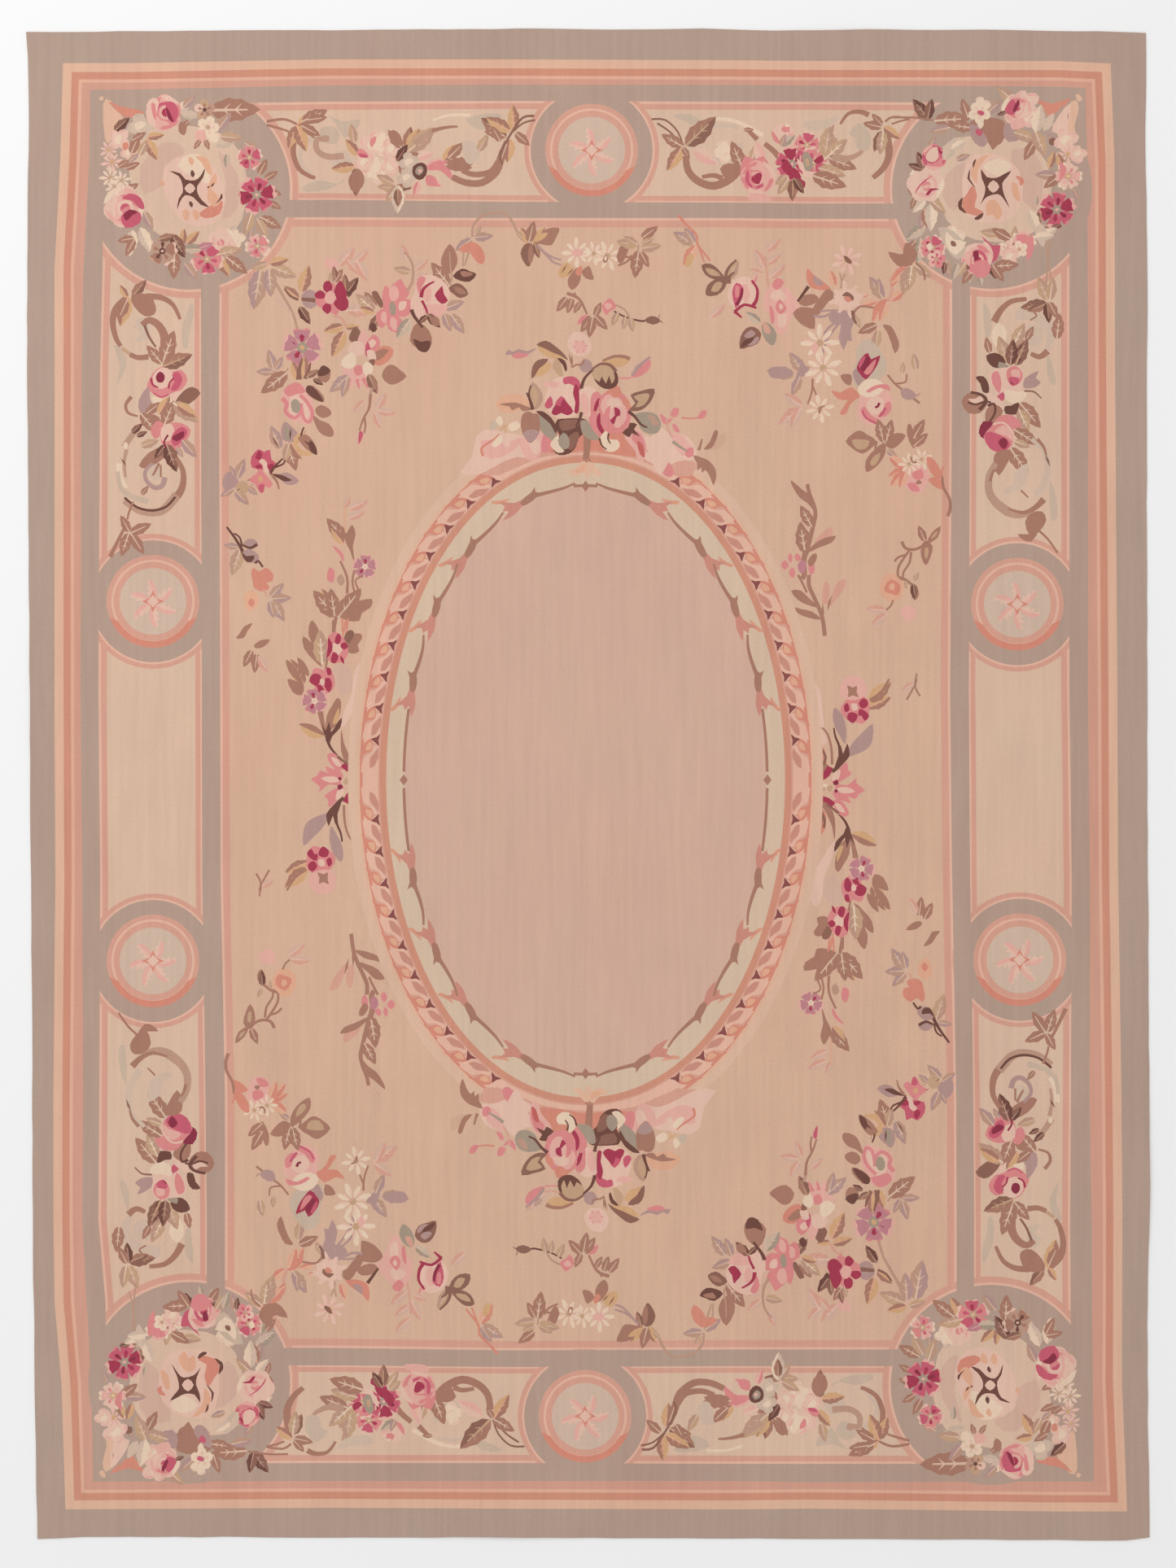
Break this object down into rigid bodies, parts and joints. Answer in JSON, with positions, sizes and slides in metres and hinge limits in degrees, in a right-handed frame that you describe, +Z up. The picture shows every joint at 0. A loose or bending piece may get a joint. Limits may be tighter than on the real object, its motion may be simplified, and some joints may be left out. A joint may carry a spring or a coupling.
{
  "type": "aubusson tapestry rug",
  "caption": "Flat-woven wool floor rug with an oval rose medallion, sprays of flowers on a sand ground, and rose and cartouche borders.",
  "frame": {"origin": "on the floor, under the middle of the outline's box", "axes": "+Z up from the floor through the cloth, +Y along the rug's length, +X across its width"},
  "size_m": [2.7609, 3.7148, 0.0061],
  "materials": {
    "dyed_wool": "matt tapestry weave of dyed wool, in sand, taupe, peach, terracotta, rose and brown"
  },
  "bodies": {
    "root": {"rug": "dyed_wool"}
  },
  "joints": []
}
